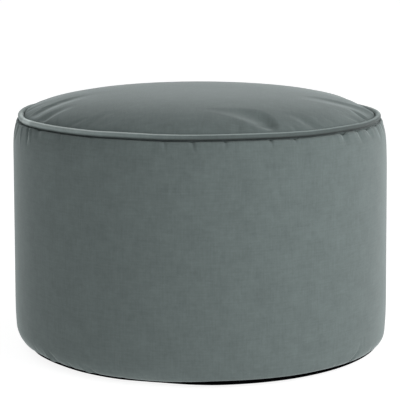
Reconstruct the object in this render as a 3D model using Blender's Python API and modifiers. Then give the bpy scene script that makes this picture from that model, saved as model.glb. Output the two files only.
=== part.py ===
"""Round bean bag footstool: a filled velvet drum, piped round its top seam, on a dark base cloth.

Run with:  blender --background --python part.py

Four sewn pieces, each a closed solid a hair's breadth from the next: the domed top panel, the
side band, the piping that is caught in the seam between them, and the base panel.
Constants are metres, +Z is up, and the origin is on the floor under the middle of the drum.
A bearing is an angle in degrees from the front (-Y), growing towards the right (+X).
The columns of the tables are millimetres and degrees.
"""

import math
from functools import lru_cache
from typing import NamedTuple

import bpy

MM = 0.001
GAP = 0.0003                 # kept between neighbouring pieces
SEGMENTS = 120               # facets round the drum
SHARP_ANGLE = 50             # degrees: edges that turn less than this are shaded smooth

# Side band
SIDE_RADIUS = 0.2528         # at the widest, just above the bottom corner
SIDE_TAPER = 0.0026          # how much narrower the band would be at the seam without its shoulder
SHOULDER_DROP = 0.036        # height over which the band swells out from under the piping
LEAN = -0.0012               # sideways shift of the top seam: the filling leans to the left
SIDE_RINGS = (0.982, 0.955, 0.92, 0.87, 0.60, 0.0)   # shares of the band's height, from the groove down
ROLL_RINGS = (0.6, 0.25, 0.0)                        # shares of the rolled edge, down to the seam

# Top seam and its piping
SEAM_HEIGHT = 0.3098
SEAM_RADIUS = 0.2393         # to the middle of the cord
CORD_RADIUS = 0.0038
GROOVE_ARC = (205.0, 290.0)  # part of the cord that the band is wrapped round, from its inner side
GROOVE_STEPS = 3

# Top panel
CROWN_RISE = 0.0338
CROWN_FULLNESS = (3.4, 0.66)  # powers of the dome: how flat its middle and how round its edge
CROWN_EDGE = SEAM_RADIUS - CORD_RADIUS - GAP
CROWN_RINGS = 10
CROWN_UNDERSIDE = SEAM_HEIGHT - 0.0006
SEAM_HOLD = 4                # power with which the wandering of the seam fades towards the middle

# Base panel
BASE_THICKNESS = 0.0020
HEM_TUCK = 0.0010            # depth of the little groove at the bottom seam
HEM_TUCK_WIDTH = 0.0050
TURN_UP_RINGS = (0.0, 0.5, 1.0)   # shares of the turned-up edge, from the floor to the seam

# Every fold swells from nothing at its seam over this share of its length, then dies away
FOLD_START = 0.15

# Colours are linear
VELVET = (0.127, 0.153, 0.150)
BASE_CLOTH = (0.006, 0.006, 0.007)


class Fold(NamedTuple):
    """A soft ridge or trough that runs from a seam into a panel."""

    bearing: float   # where it meets the seam
    reach: float     # length from the seam
    rise: float      # height of a ridge, negative for a trough
    width: float     # across
    sweep: float     # degrees that its far end lies round from its seam end


class EdgeRow(NamedTuple):
    """How the bottom edge rolls under at one bearing."""

    bearing: float
    corner: float    # radius of the rolled edge
    hem: float       # height of the bottom seam above the floor


class SeamRow(NamedTuple):
    """How far the top seam wanders up or down at one bearing."""

    bearing: float
    rise: float


CROWN_FOLDS = (
    Fold(-100, 120, 1.4, 200, 0),
    Fold(97, 95, -3.0, 120, 0),
    Fold(-76, 96, -3.6, 26, -5),
    Fold(-68, 84, 2.4, 20, -7),
    Fold(-62, 40, -2.4, 18, 1),
    Fold(-51, 28, -1.8, 20, 4),
    Fold(-43, 34, -2.4, 18, 3),
    Fold(-29, 28, -1.6, 20, 3),
    Fold(-8, 40, -1.2, 26, 4),
    Fold(11, 40, -1.8, 20, 1),
    Fold(18, 52, 2.2, 22, -6),
    Fold(26, 86, -4.6, 34, -13),
    Fold(34, 52, 2.6, 22, -5),
    Fold(41, 44, -3.0, 20, -6),
    Fold(64, 40, -2.8, 20, -5),
    Fold(72, 84, 3.4, 24, -10),
    Fold(80, 78, -3.2, 26, -2),
    Fold(112, 64, 2.4, 28, 6),
    Fold(124, 70, -3.2, 28, 8),
    Fold(146, 48, -2.2, 26, -4),
    Fold(168, 74, 2.4, 30, -6),
    Fold(178, 66, -3.0, 26, -5),
    Fold(-158, 44, -2.2, 22, 3),
    Fold(-137, 80, 2.6, 30, 7),
    Fold(-128, 68, -3.2, 26, 6),
    Fold(-106, 54, -2.4, 28, -4),
    Fold(-92, 48, 2.0, 26, -3),
)

SEAM_PUCKERS = (
    Fold(90, 70, -1.6, 240, 0),
    Fold(-80, 24, -2.0, 18, 2),
    Fold(-72, 28, 1.6, 17, -2),
    Fold(-66, 28, -2.8, 18, 3),
    Fold(-57, 20, -2.0, 17, 1),
    Fold(-45, 20, -1.8, 17, 1),
    Fold(-33, 16, -1.2, 17, 0),
    Fold(-11, 18, 1.2, 17, -2),
    Fold(-2, 18, -1.6, 17, 2),
    Fold(21, 18, -1.4, 17, 0),
    Fold(29, 18, -1.4, 17, 0),
    Fold(45, 24, -2.0, 17, 2),
    Fold(49, 22, 1.6, 15, 2),
    Fold(53, 28, -2.8, 18, 3),
    Fold(62, 26, -2.4, 17, 3),
    Fold(66, 24, 1.6, 15, 3),
    Fold(71, 30, -2.6, 18, 4),
    Fold(96, 24, -1.8, 18, 2),
    Fold(117, 28, -2.2, 20, -3),
    Fold(141, 22, -1.8, 18, 2),
    Fold(163, 26, -2.2, 18, 3),
    Fold(-172, 22, -1.8, 18, -2),
    Fold(-149, 28, -2.4, 20, 3),
    Fold(-126, 22, -1.8, 18, -2),
    Fold(-102, 26, -2.2, 20, -3),
)

HEM_PUCKERS = (
    Fold(-58, 24, -1.4, 18, 4),
    Fold(-48, 22, -1.6, 18, -6),
    Fold(-42, 16, 1.2, 15, -2),
    Fold(-33, 18, -1.4, 17, -3),
    Fold(-5, 18, -1.2, 18, 0),
    Fold(44, 16, -0.8, 17, 2),
    Fold(55, 20, -1.2, 18, 4),
    Fold(63, 18, 1.0, 16, 3),
    Fold(104, 20, -1.2, 20, -4),
    Fold(139, 18, -1.4, 18, 3),
    Fold(171, 20, -1.2, 20, 0),
    Fold(-151, 18, -1.4, 18, -3),
    Fold(-118, 20, -1.2, 20, 4),
)

BOTTOM_EDGE = (
    EdgeRow(-180, 25, 5.5),
    EdgeRow(-110, 29, 4.5),
    EdgeRow(-60, 30, 4.4),
    EdgeRow(-38, 27, 4.2),
    EdgeRow(-14, 33, 3.2),
    EdgeRow(6, 25, 8.4),
    EdgeRow(32, 22, 7.6),
    EdgeRow(60, 20, 7.0),
    EdgeRow(110, 21, 6.0),
    EdgeRow(180, 25, 5.5),
)

SEAM_LINE = (
    SeamRow(-180, 0.3),
    SeamRow(-130, -0.4),
    SeamRow(-75, 0.5),
    SeamRow(-40, -0.3),
    SeamRow(-5, 0.2),
    SeamRow(35, -0.4),
    SeamRow(75, 0.4),
    SeamRow(130, -0.3),
    SeamRow(180, 0.3),
)


def smooth(t):
    """Ease from 0 to 1 as t goes from 0 to 1."""
    t = min(max(t, 0.0), 1.0)
    return t * t * (3 - 2 * t)


def round_trip(rows, column, bearing):
    """Value of one column at a bearing, eased between the rows of a table that goes all round."""
    for low, high in zip(rows, rows[1:]):
        if low.bearing <= bearing <= high.bearing:
            t = smooth((bearing - low.bearing) / (high.bearing - low.bearing))
            return getattr(low, column) * (1 - t) + getattr(high, column) * t
    raise ValueError(f"no row for bearing {bearing}")


def fold_rise(folds, bearing, radius, distance):
    """Height of all the folds at a point that lies a distance from the seam."""
    total = 0.0
    for fold in folds:
        t = distance / (fold.reach * MM)
        if not 0 < t < 1:
            continue
        away = (bearing - fold.bearing - fold.sweep * t + 180) % 360 - 180
        across = abs(math.radians(away)) * radius / (fold.width * MM / 2)
        if across < 1:
            along = smooth(t / FOLD_START) * (1 - smooth(t))
            total += fold.rise * MM * along * (1 - smooth(across))
    return total


def seam_height(bearing):
    """Height of the middle of the piping."""
    return SEAM_HEIGHT + round_trip(SEAM_LINE, "rise", bearing) * MM


def side_radius(height):
    """Radius of the plain band: a round shoulder under the piping, then slowly wider downwards."""
    above_shoulder = max(height - (SEAM_HEIGHT - SHOULDER_DROP), 0.0) / SHOULDER_DROP
    drawn_in = 1 - math.sqrt(1 - min(above_shoulder, 1.0) ** 2)
    full = SIDE_RADIUS - SIDE_TAPER * height / SEAM_HEIGHT
    return full - (SIDE_RADIUS - SIDE_TAPER - SEAM_RADIUS) * drawn_in


def crown_outline(bearing):
    """Top panel: a full dome with gathers at its seam, on a flat underside."""
    middle, edge = CROWN_FULLNESS
    outline = []
    for ring in range(CROWN_RINGS + 1):
        radius = CROWN_EDGE * math.sin(math.pi / 2 * ring / CROWN_RINGS)
        u = radius / CROWN_EDGE
        height = SEAM_HEIGHT + CROWN_RISE * (1 - u ** middle) ** edge
        height += (seam_height(bearing) - SEAM_HEIGHT) * u ** SEAM_HOLD
        height += fold_rise(CROWN_FOLDS, bearing, radius, CROWN_EDGE - radius)
        outline.append((radius, height))
    outline.append((CROWN_EDGE, CROWN_UNDERSIDE))
    outline.append((0.0, CROWN_UNDERSIDE))
    return outline


def rolled_edge(bearing):
    """Foot radius, corner radius and seam angle of the bottom edge at a bearing."""
    corner = round_trip(BOTTOM_EDGE, "corner", bearing) * MM
    hem = round_trip(BOTTOM_EDGE, "hem", bearing) * MM
    return side_radius(corner) - corner, corner, math.acos(1 - hem / corner)


def on_roll(foot, corner, inset, angle):
    """Point on the rolled edge, inset from its skin, at an angle from straight down."""
    return foot + (corner - inset) * math.sin(angle), corner - (corner - inset) * math.cos(angle)


def side_outline(bearing):
    """Side band: grooved round the piping, drawn in at both seams, hollow over the base panel."""
    top = CROWN_UNDERSIDE - GAP
    outline = [(0.0, top), (CROWN_EDGE - 2 * GAP, top)]

    seam = seam_height(bearing)
    arc = [math.radians(angle) for angle in GROOVE_ARC]
    step = (arc[1] - arc[0]) / GROOVE_STEPS
    groove = (CORD_RADIUS + GAP) / math.cos(step / 2)
    for i in range(GROOVE_STEPS + 1):
        angle = arc[0] + step * i
        outline.append((SEAM_RADIUS + groove * math.cos(angle), seam + groove * math.sin(angle)))

    foot, corner, hem_angle = rolled_edge(bearing)
    lip = outline[-1][1]
    for share in SIDE_RINGS:
        height = corner + (lip - corner) * share
        radius = side_radius(height)
        radius += fold_rise(SEAM_PUCKERS, bearing, radius, lip - height)
        outline.append((radius, height))

    hem_angle += GAP / corner
    for share in ROLL_RINGS:
        angle = hem_angle + (math.pi / 2 - hem_angle) * share
        distance = (angle - hem_angle) * corner
        tuck = HEM_TUCK * (1 - smooth(distance / HEM_TUCK_WIDTH))
        rise = fold_rise(HEM_PUCKERS, bearing, SIDE_RADIUS, distance)
        outline.append(on_roll(foot, corner, tuck - rise, angle))

    inset = BASE_THICKNESS + GAP
    for share in reversed(TURN_UP_RINGS):
        outline.append(on_roll(foot, corner, inset, hem_angle * share))
    outline.append((0.0, inset))
    return outline


def base_outline(bearing):
    """Base panel: a sheet on the floor, turned up all round to the bottom seam."""
    foot, corner, hem_angle = rolled_edge(bearing)
    outline = [(0.0, BASE_THICKNESS)]
    for share in TURN_UP_RINGS:
        outline.append(on_roll(foot, corner, BASE_THICKNESS, hem_angle * share))
    for share in reversed(TURN_UP_RINGS):
        tuck = HEM_TUCK if share == 1.0 else 0.0
        outline.append(on_roll(foot, corner, tuck, hem_angle * share))
    outline.append((0.0, 0.0))
    return outline


def place(radius, height, bearing):
    """Point in space: the drum leans a little, so each level is shifted sideways."""
    angle = math.radians(bearing)
    lean = LEAN * height / SEAM_HEIGHT
    return radius * math.sin(angle) + lean, -radius * math.cos(angle), height


def cloth(name, colour, roughness):
    """Material of one piece."""
    material = bpy.data.materials.new(name)
    material.use_nodes = True
    shader = material.node_tree.nodes["Principled BSDF"]
    shader.inputs["Base Color"].default_value = (*colour, 1.0)
    shader.inputs["Roughness"].default_value = roughness
    shader.inputs["Metallic"].default_value = 0.0
    return material


def turned_solid(name, outline_at, material, collection):
    """Turn an outline with a Screw modifier, then ease it to the outline of each bearing."""
    outline = outline_at(0.0)
    mesh = bpy.data.meshes.new(name)
    mesh.from_pydata(
        [(radius, 0.0, height) for radius, height in outline],
        [(i, i + 1) for i in range(len(outline) - 1)],
        [],
    )
    station = mesh.attributes.new("station", "INT", "POINT")
    station.data.foreach_set("value", range(len(outline)))

    profile = bpy.data.objects.new(name, mesh)
    collection.objects.link(profile)
    screw = profile.modifiers.new("turn", "SCREW")
    screw.steps = screw.render_steps = SEGMENTS
    screw.use_merge_vertices = True
    screw.merge_threshold = 0.00001
    depsgraph = bpy.context.evaluated_depsgraph_get()
    turned = bpy.data.meshes.new_from_object(profile.evaluated_get(depsgraph))
    bpy.data.objects.remove(profile)
    bpy.data.meshes.remove(mesh)

    outlines = lru_cache(maxsize=None)(outline_at)
    stations = turned.attributes["station"].data
    for vertex in turned.vertices:
        bearing = round(math.degrees(math.atan2(vertex.co.x, -vertex.co.y)), 3)
        radius, height = outlines(bearing)[stations[vertex.index].value]
        vertex.co = place(radius, height, bearing)
    turned.attributes.remove(turned.attributes["station"])

    turned.name = name
    turned.materials.append(material)
    turned.shade_smooth()
    turned.set_sharp_from_angle(angle=math.radians(SHARP_ANGLE))
    solid = bpy.data.objects.new(name, turned)
    collection.objects.link(solid)
    return solid


def piping(name, material, collection):
    """Round cord along the top seam."""
    curve = bpy.data.curves.new(name, "CURVE")
    curve.dimensions = "3D"
    curve.twist_mode = "Z_UP"
    curve.bevel_depth = CORD_RADIUS
    curve.bevel_resolution = 2
    spline = curve.splines.new("POLY")
    spline.points.add(SEGMENTS - 1)
    spline.use_cyclic_u = True
    for i, point in enumerate(spline.points):
        bearing = 360.0 * i / SEGMENTS - 180
        point.co = (*place(SEAM_RADIUS, seam_height(bearing), bearing), 1.0)
    curve.materials.append(material)
    cord = bpy.data.objects.new(name, curve)
    collection.objects.link(cord)
    return cord


def build():
    """Clear the scene and model the footstool's four pieces."""
    for item in list(bpy.data.objects):
        bpy.data.objects.remove(item)
    footstool = bpy.data.collections.new("bean_bag_footstool")
    bpy.context.scene.collection.children.link(footstool)
    turned_solid("top_panel", crown_outline, cloth("top_panel_velvet", VELVET, 0.85), footstool)
    turned_solid("side_band", side_outline, cloth("side_band_velvet", VELVET, 0.85), footstool)
    piping("top_piping", cloth("top_piping_velvet", VELVET, 0.80), footstool)
    turned_solid("base_panel", base_outline, cloth("base_panel_cloth", BASE_CLOTH, 0.95), footstool)


build()
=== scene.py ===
"""Looks of the round bean bag footstool: velvet panels, self piping and a dark base cloth.

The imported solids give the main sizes. Each sewn piece gets its own class, which builds a fine
mesh over the solid it stands for and dresses it in its cloth.
Lengths are metres unless a name ends in _mm. A bearing is an angle in degrees from the
front (-Y), growing towards the right (+X).
"""

import logging
import math
from dataclasses import dataclass, field
from typing import Callable, NamedTuple, Sequence

import bpy
import numpy as np
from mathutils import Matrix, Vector


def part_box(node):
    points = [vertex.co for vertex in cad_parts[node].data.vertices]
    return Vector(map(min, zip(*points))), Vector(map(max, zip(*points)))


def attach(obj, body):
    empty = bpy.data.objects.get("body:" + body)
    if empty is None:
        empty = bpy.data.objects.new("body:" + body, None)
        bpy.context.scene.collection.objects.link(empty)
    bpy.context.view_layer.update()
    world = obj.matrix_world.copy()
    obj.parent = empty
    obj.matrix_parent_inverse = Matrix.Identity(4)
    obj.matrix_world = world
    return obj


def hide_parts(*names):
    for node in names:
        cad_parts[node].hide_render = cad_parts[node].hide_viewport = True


Array = np.ndarray
Pair = tuple[float, float]
Section = tuple[Array | float, Array | float, Array | float]    # radius, height, up the cloth
Material = bpy.types.Material
Mesh = bpy.types.Mesh
Piece = bpy.types.Object
Tree = bpy.types.NodeTree
Node = bpy.types.Node
Socket = bpy.types.NodeSocket
Source = Node | Socket                # what feeds a socket: a node's first output, or another one

MM = 0.001
BODY = "root"
LOG = logging.getLogger("footstool")

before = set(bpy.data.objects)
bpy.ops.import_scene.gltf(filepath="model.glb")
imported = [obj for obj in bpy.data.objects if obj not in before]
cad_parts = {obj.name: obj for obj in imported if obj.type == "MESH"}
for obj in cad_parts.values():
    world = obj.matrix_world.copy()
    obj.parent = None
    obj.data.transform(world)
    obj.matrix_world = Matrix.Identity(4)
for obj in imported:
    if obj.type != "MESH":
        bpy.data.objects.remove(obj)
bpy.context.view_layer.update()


# --------------------------------------------------------------------------------------
# Colours, nodes and objects


def linear(hex_colour: str) -> tuple[float, float, float, float]:
    """Turn an sRGB hex colour into the linear colour that shaders work in.

    Args:
        hex_colour: Six hex digits.

    Returns:
        Linear red, green and blue, with full alpha.
    """
    channels = [int(hex_colour[i:i + 2], 16) / 255 for i in (0, 2, 4)]
    red, green, blue = (
        c / 12.92 if c <= 0.04045 else ((c + 0.055) / 1.055) ** 2.4 for c in channels)
    return red, green, blue, 1.0


def add_node(tree: Tree, kind: str, links: dict | None = None, **settings: object) -> Node:
    """Add one node with its settings, input values and incoming links.

    Args:
        tree: The node tree that gets the node.
        kind: Blender's type name for the node.
        links: Socket name or number to a value, or to the node or output socket that feeds it.
        **settings: Properties of the node itself.

    Returns:
        The new node.
    """
    node = tree.nodes.new(kind)
    for name, value in settings.items():
        setattr(node, name, value)
    for socket, value in (links or {}).items():
        if isinstance(value, Node):
            value = value.outputs[0]
        if isinstance(value, Socket):
            tree.links.new(value, node.inputs[socket])
        else:
            node.inputs[socket].default_value = value
    return node


def add_object(name: str, data: bpy.types.ID) -> bpy.types.Object:
    """Put data in the scene as an object at the origin.

    Args:
        name: Name of the object.
        data: A mesh, curve, lamp or camera.

    Returns:
        The object.
    """
    added = bpy.data.objects.new(name, data)
    bpy.context.scene.collection.objects.link(added)
    return added


def evaluated_mesh(piece: Piece) -> Mesh:
    """Make a plain mesh of what a piece's modifiers give it."""
    depsgraph = bpy.context.evaluated_depsgraph_get()
    return bpy.data.meshes.new_from_object(piece.evaluated_get(depsgraph))


# --------------------------------------------------------------------------------------
# Finishes


@dataclass(frozen=True)
class Finish:
    """What a surface is made of. Each kind says what its shader is given."""

    name: str

    def material(self) -> Material:
        """Build the finish's node tree.

        Returns:
            The finished material.
        """
        material = bpy.data.materials.new(self.name)
        material.use_nodes = True
        tree = material.node_tree
        tree.nodes.clear()
        shader = add_node(tree, "ShaderNodeBsdfPrincipled", self.surface(tree))
        add_node(tree, "ShaderNodeOutputMaterial", {"Surface": shader})
        return material

    def surface(self, tree: Tree) -> dict:
        """Inputs of the shader, built in the material's tree."""
        raise NotImplementedError


@dataclass(frozen=True)
class Velvet(Finish):
    """Short-pile cotton velvet, woven and then cut and brushed.

    The cut pile drinks light where it is seen end on, so folds look deep, and it catches light
    on the sides of its fibres at a glancing view, which gives velvet its pale rim.
    """

    colour: str = "616b6a"
    dark_share: float = 0.78          # brightness of the darkest specks against the palest
    sheen: float = 0.42
    sheen_roughness: float = 0.31
    sheen_colour: str = "f3ffff"
    roughness: float = 0.88
    gloss: float = 0.25               # specular level: cut pile hardly shines
    yarn_mm: float = 1.9              # real yarns lie 0.5 mm apart; drawn coarser so that they show
    yarn_run_mm: float = 26.0         # length over which one uneven yarn can be followed
    brushed_mm: float = 34.0          # size of the widest patches that a hand leaves in the pile
    brushed_share: float = 2.3        # how much stronger the patches are than the yarns
    spread: float = 0.52              # how far both together stray to either side of their middle
    pile_mm: float = 0.9              # tufts of cut pile, drawn twice their real size
    pile_depth_mm: float = 0.10
    pile_strength: float = 0.6        # how much of that depth the light shows

    def surface(self, tree: Tree) -> dict:
        """Make the pile and its colour, in a pattern that follows the cut cloth.

        Args:
            tree: The velvet's node tree.

        Returns:
            Inputs of the shader.
        """
        place = add_node(tree, "ShaderNodeTexCoord").outputs["UV"]
        pile = self.noise(tree, place, self.pile_mm, detail=1.0)
        bump = add_node(tree, "ShaderNodeBump", {
            "Height": pile, "Distance": self.pile_depth_mm * MM,
            "Strength": self.pile_strength})
        return {
            "Base Color": self.shade(tree, place), "Roughness": self.roughness,
            "Specular IOR Level": self.gloss, "Sheen Weight": self.sheen,
            "Sheen Roughness": self.sheen_roughness, "Sheen Tint": linear(self.sheen_colour),
            "Normal": bump}

    def shade(self, tree: Tree, place: Socket) -> Node:
        """Colour the pile by its uneven yarns and brushed patches."""
        return add_node(tree, "ShaderNodeVectorMath", {
            0: linear(self.colour)[:3], "Scale": self.tone(tree, place)}, operation="SCALE")

    def tone(self, tree: Tree, place: Socket) -> Node:
        """Mix uneven yarns and brushed patches into one brightness.

        Args:
            tree: The velvet's node tree.
            place: Coordinates on the cloth, in metres.

        Returns:
            A factor for the colour.
        """
        fine, long = 1 / self.yarn_mm, 1 / self.yarn_run_mm
        yarns = add_node(tree, "ShaderNodeMath", {
            0: self.streaks(tree, place, (fine, long, fine)),
            1: self.streaks(tree, place, (long, fine, long))}, operation="ADD")
        brushed = self.noise(tree, place, self.brushed_mm, detail=4.0, roughness=0.95)
        mixed = add_node(tree, "ShaderNodeMath", {
            0: brushed, 1: self.brushed_share, 2: yarns}, operation="MULTIPLY_ADD")
        middle = 1 + self.brushed_share / 2
        return add_node(tree, "ShaderNodeMapRange", {
            "Value": mixed, "From Min": middle - self.spread, "From Max": middle + self.spread,
            "To Min": self.dark_share, "To Max": 1.0})

    def streaks(self, tree: Tree, place: Socket, per_mm: tuple[float, float, float]) -> Node:
        """Draw uneven yarns that run one way.

        Args:
            tree: The velvet's node tree.
            place: Coordinates on the cloth, in metres.
            per_mm: How many yarns there are to a millimetre along each axis.

        Returns:
            The pattern.
        """
        stretched = add_node(tree, "ShaderNodeMapping", {
            0: place, "Scale": tuple(yarns / MM for yarns in per_mm)})
        return add_node(tree, "ShaderNodeTexNoise", {
            "Vector": stretched, "Scale": 1.0, "Detail": 2.0})

    def noise(self, tree: Tree, place: Socket, size_mm: float, detail: float,
              roughness: float = 0.5) -> Node:
        """Draw clouds of one size, with finer ones laid over them.

        Args:
            tree: The velvet's node tree.
            place: Coordinates on the cloth, in metres.
            size_mm: Size of the clouds.
            detail: How many times finer clouds are laid over them.
            roughness: How strong the finer ones are.

        Returns:
            The pattern.
        """
        return add_node(tree, "ShaderNodeTexNoise", {
            "Vector": place, "Scale": 1 / (size_mm * MM), "Detail": detail,
            "Roughness": roughness})


class PaintedLightChange(NamedTuple):
    """A smooth change in the painted light on the ring of piping, between two places round it."""

    bearing: float        # that both places are measured from, to either side
    across: Pair          # cosines of how far round from there the two places lie
    to: Pair              # painted brightness at each of them, and beyond it


@dataclass(frozen=True)
class PaintedLightBiasVelvet(Velvet):
    """The same velvet cut on the bias and drawn tight round the cord.

    Its colour carries painted light: painted sheen that makes the ring pale on one side of
    the drum and deep on the other, a painted highlight along the crest of the cord and painted
    shade underneath it.
    """

    sheen: float = 0.24
    sheen_colour: str = "f4ffff"
    ring_radius: float = 0.24
    cord_radius: float = 0.0038
    painted_highlight_colour: str = "656b6a"       # painted highlight colour, less tinted than the plain pile
    painted_highlight_range: Pair = (1.2, 3.4)     # painted brightness over which the highlight colour comes in
    painted_light_bearing: float = -84.0       # bearing of the strongest painted sheen on the ring
    pale: float = 2.5                 # painted brightness there, against the plain cloth
    deep: float = 0.84                # painted shade a quarter turn away and beyond
    painted_light_changes: tuple[PaintedLightChange, ...] = (
        PaintedLightChange(-84.0, (-0.9, 0.1), (0.66, 1.0)),         # painted shade on the far side of the ring
        PaintedLightChange(-68.0, (0.9955, 0.9993), (1.0, 1.5)),     # painted highlight near the left tip of the ring
        PaintedLightChange(-84.0, (-1.0, -0.95), (1.5, 1.0)),        # painted sheen where the far side turns away
        PaintedLightChange(-120.0, (0.75, 0.87), (1.0, 0.6)),        # painted shade round the back left of the ring
    )
    painted_crest_highlight: float = 4.1           # painted highlight along the crest, on the paler side of the ring
    painted_crest_highlight_far: float = 2.4           # and from the middle to the far side
    crest_highlight_lean: Pair = (-0.1, 0.9)    # cosines of the turn from the palest bearing between the two
    crest_highlight_turn: Pair = (34.0, 68.0)   # degrees up from level over which the painted highlight comes in
    under: float = 0.40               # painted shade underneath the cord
    under_shade_turn: Pair = (-50.0, 10.0)  # degrees up from level over which the painted shade fades out

    def shade(self, tree: Tree, place: Socket) -> Node:
        """Colour the pile with painted light: a paler side of the ring, a painted highlight
        along the crest and painted shade underneath.

        Args:
            tree: The velvet's node tree.
            place: Coordinates on the cloth, in metres.

        Returns:
            The colour.
        """
        painted_sheen_and_shade = self.painted_sheen_and_shade(tree, place)
        # painted highlight colour, mixed in where the painted light is strong
        painted_highlight_mix = add_node(tree, "ShaderNodeMix", {
            "Factor": self.ease(tree, painted_sheen_and_shade, self.painted_highlight_range, (0.0, 1.0)),
            6: linear(self.colour), 7: linear(self.painted_highlight_colour)}, data_type="RGBA")
        tone = add_node(tree, "ShaderNodeMath", {0: self.tone(tree, place), 1: painted_sheen_and_shade},
                        operation="MULTIPLY")
        return add_node(tree, "ShaderNodeVectorMath", {0: painted_highlight_mix.outputs[2], "Scale": tone},
                        operation="SCALE")

    def painted_sheen_and_shade(self, tree: Tree, place: Socket) -> Node:
        """Painted sheen, highlight and shade on the cord, as one brightness.

        Args:
            tree: The velvet's node tree.
            place: Coordinates on the cloth: along the cord and round it, in metres.

        Returns:
            A factor for the colour.
        """
        along, round_cord = add_node(tree, "ShaderNodeSeparateXYZ", {0: place}).outputs[:2]
        lean = self.facing(tree, along, self.painted_light_bearing)
        # painted sheen: the ring is paler on one side of the drum than on the other
        body = self.ease(tree, lean, (0.0, 1.0), (self.deep, self.pale))
        # painted highlight along the crest of the cord
        crest = self.ease(tree, lean, self.crest_highlight_lean, (self.painted_crest_highlight_far, self.painted_crest_highlight))
        around = 1.0
        # painted light and shade round the ring, one change after another
        for change in self.painted_light_changes:
            turn = self.facing(tree, along, change.bearing)
            factor = self.ease(tree, turn, change.across, change.to)
            around = add_node(tree, "ShaderNodeMath", {0: around, 1: factor},
                              operation="MULTIPLY")
        body, crest = (add_node(tree, "ShaderNodeMath", {0: part, 1: around},
                                operation="MULTIPLY") for part in (body, crest))

        turn = add_node(tree, "ShaderNodeMath", {
            0: round_cord, 1: math.degrees(1 / self.cord_radius)}, operation="MULTIPLY")
        # painted shade under the cord
        under_shade = self.ease(tree, turn, self.under_shade_turn, (self.under, 1.0))
        crest_highlight_share = self.ease(tree, turn, self.crest_highlight_turn, (0.0, 1.0))
        low = add_node(tree, "ShaderNodeMath", {0: body, 1: under_shade}, operation="MULTIPLY")
        more = add_node(tree, "ShaderNodeMath", {0: crest, 1: low}, operation="SUBTRACT")
        return add_node(tree, "ShaderNodeMath", {0: more, 1: crest_highlight_share, 2: low},
                        operation="MULTIPLY_ADD")

    def facing(self, tree: Tree, along: Socket, bearing: float) -> Node:
        """Say how nearly a place along the cord lies at a bearing.

        Args:
            tree: The velvet's node tree.
            along: Distance along the cord from the front, in metres.
            bearing: The bearing.

        Returns:
            1 at the bearing, falling to -1 across the ring.
        """
        turn = add_node(tree, "ShaderNodeMath", {
            0: along, 1: 1 / self.ring_radius, 2: -math.radians(bearing)},
            operation="MULTIPLY_ADD")
        return add_node(tree, "ShaderNodeMath", {0: turn}, operation="COSINE")

    def ease(self, tree: Tree, value: Source, across: Pair, to: Pair) -> Node:
        """Map a value smoothly from one range to another, and hold it beyond.

        Args:
            tree: The velvet's node tree.
            value: What is mapped.
            across: The two values between which it changes.
            to: What it becomes at each of them.

        Returns:
            The mapped value.
        """
        return add_node(tree, "ShaderNodeMapRange", {
            "Value": value, "From Min": across[0], "From Max": across[1], "To Min": to[0],
            "To Max": to[1]}, interpolation_type="SMOOTHSTEP")


@dataclass(frozen=True)
class BaseCloth(Finish):
    """Black polyester base cloth, plain woven: matt, with hardly any pile to catch the light."""

    name: str = "woven_base_cloth"
    colour: str = "050506"
    roughness: float = 0.95
    thread_mm: float = 0.8
    thread_depth_mm: float = 0.1
    waves_per_metre: float = 3.2      # about how many Blender's wave texture draws at scale 1

    def surface(self, tree: Tree) -> dict:
        """Make the crossing threads and their colour.

        Args:
            tree: The base cloth's node tree.

        Returns:
            Inputs of the shader.
        """
        place = add_node(tree, "ShaderNodeTexCoord").outputs["Object"]
        scale = 1 / (self.thread_mm * MM * self.waves_per_metre)
        across, along = (
            add_node(tree, "ShaderNodeTexWave", {
                "Vector": place, "Scale": scale, "Distortion": 0.4}, bands_direction=axis)
            for axis in ("X", "Y"))
        plain = add_node(tree, "ShaderNodeMath", {0: across.outputs[1], 1: along.outputs[1]},
                         operation="MULTIPLY")
        tone = add_node(tree, "ShaderNodeMapRange", {"Value": plain, "To Min": 0.6, "To Max": 1.0})
        shade = add_node(tree, "ShaderNodeVectorMath", {
            0: linear(self.colour)[:3], "Scale": tone}, operation="SCALE")
        bump = add_node(tree, "ShaderNodeBump", {
            "Height": plain, "Distance": self.thread_depth_mm * MM, "Strength": 0.5})
        return {"Base Color": shade, "Roughness": self.roughness, "Specular IOR Level": 0.0,
                "Normal": bump}


@dataclass(frozen=True)
class LightTable(Finish):
    """Opal acrylic table lit from below: matt, even, and so bright that shadows are lost in it."""

    name: str = "opal_acrylic_table"
    colour: str = "959595"
    glow: float = 0.88

    def surface(self, tree: Tree) -> dict:
        """Inputs of the table's shader, which are the same all over."""
        return {"Base Color": linear(self.colour), "Roughness": 0.95, "Specular IOR Level": 0.1,
                "Emission Color": (1.0, 1.0, 1.0, 1.0), "Emission Strength": self.glow}


# --------------------------------------------------------------------------------------
# Folds and the form of the drum


class Fold(NamedTuple):
    """A soft ridge or trough that runs from a seam into a panel."""

    bearing: float        # where it meets the seam
    reach_mm: float       # length from the seam
    rise_mm: float        # height of a ridge, negative for a trough
    width_mm: float       # across
    sweep: float          # degrees that its far end lies round from its seam end
    bend: float = 1.0     # above 1 it turns late, below 1 it turns near the seam
    skew: float = 0.0     # from -1 to 1, above 0 where its wall on the right is the wider one
    crease: float = 0.0   # from 0 for a round fold to 1 for a sharp one
    start: float = 0.12   # share of its length over which it grows from nothing at the seam
    fade: float = 0.0     # share of its length after which it dies away
    flare: float = 0.0    # how much wider it is at its far end than at the seam, as a share


class EdgeRow(NamedTuple):
    """How the bottom edge rolls under at one bearing."""

    bearing: float
    corner_mm: float      # radius of the rolled edge
    hem_mm: float         # height of the bottom seam above the floor


class TuckRow(NamedTuple):
    """A place on the small roll that the band makes just under the piping."""

    out: float            # share of the way out from the piping to the plain side
    down_mm: float        # below where the band leaves the piping


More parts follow.
